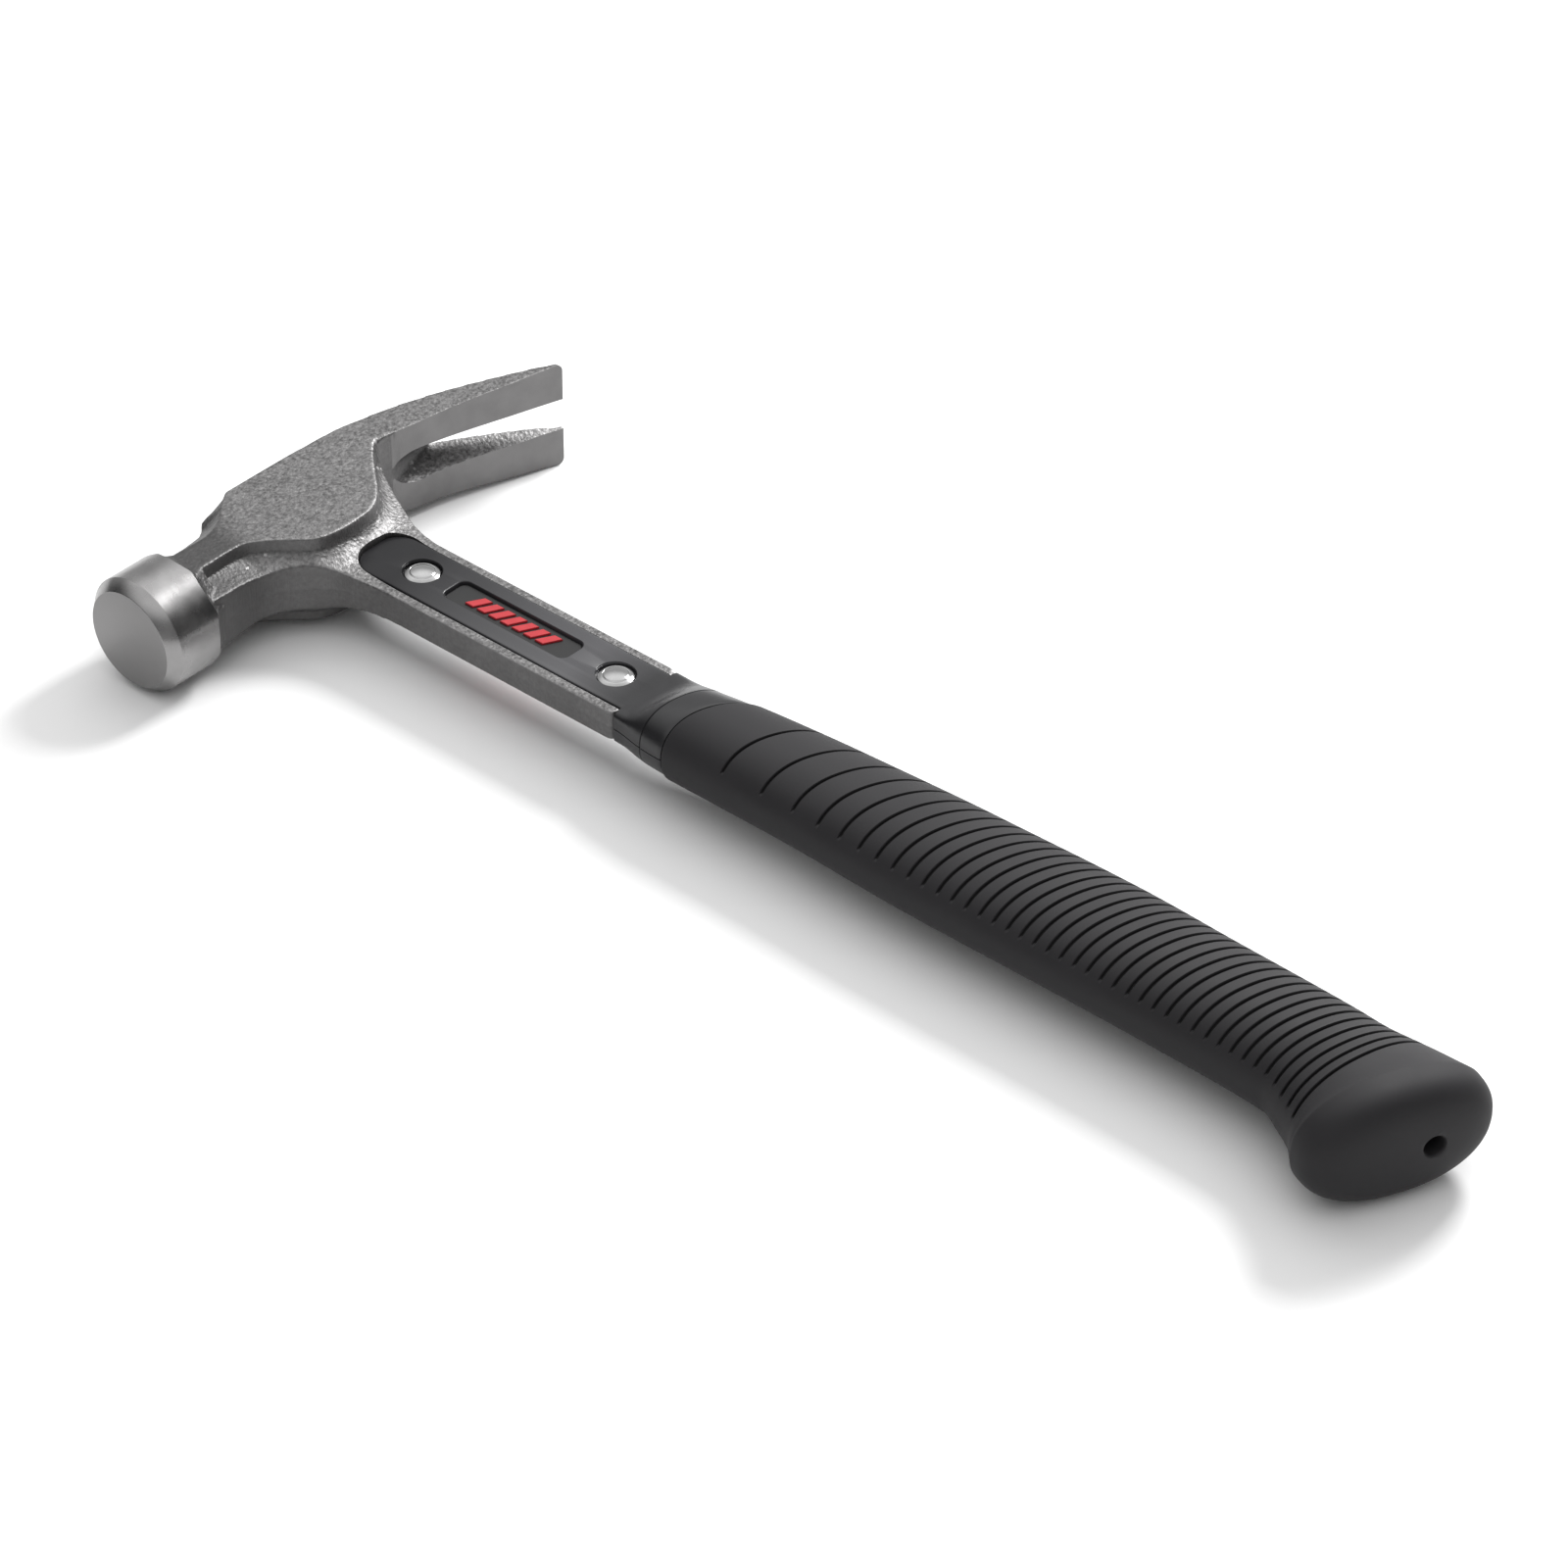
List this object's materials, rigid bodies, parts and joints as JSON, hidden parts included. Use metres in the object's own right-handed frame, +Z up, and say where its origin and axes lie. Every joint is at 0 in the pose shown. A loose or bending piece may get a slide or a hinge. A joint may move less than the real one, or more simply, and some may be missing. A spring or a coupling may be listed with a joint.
{
  "type": "claw hammer",
  "caption": "Claw hammer with a one-piece forged steel head and tang, riveted plastic core halves, grooved rubber grip and flared butt.",
  "frame": {"origin": "middle of the bounding box's bottom; the hammer lies on its cheek on the plane z = 0", "axes": "+X runs from the head down the handle to the butt, +Y points from the striking face to the claw, +Z is up, across the hammer's thickness"},
  "size_m": [0.3552, 0.1382, 0.03],
  "materials": {
    "forged_steel": "shot-blasted forging, ground poll and claw",
    "black_plastic": "satin",
    "black_rubber": "matte",
    "rivet_chrome": "polished",
    "badge_red": "moulded in colour"
  },
  "bodies": {
    "root": {"head_forging": "forged_steel", "core_half_top": "black_plastic", "core_half_bottom": "black_plastic", "grip_sleeve": "black_rubber", "rivet_front": "rivet_chrome", "rivet_rear": "rivet_chrome", "badge_top": "badge_red", "badge_bottom": "badge_red"}
  },
  "joints": []
}
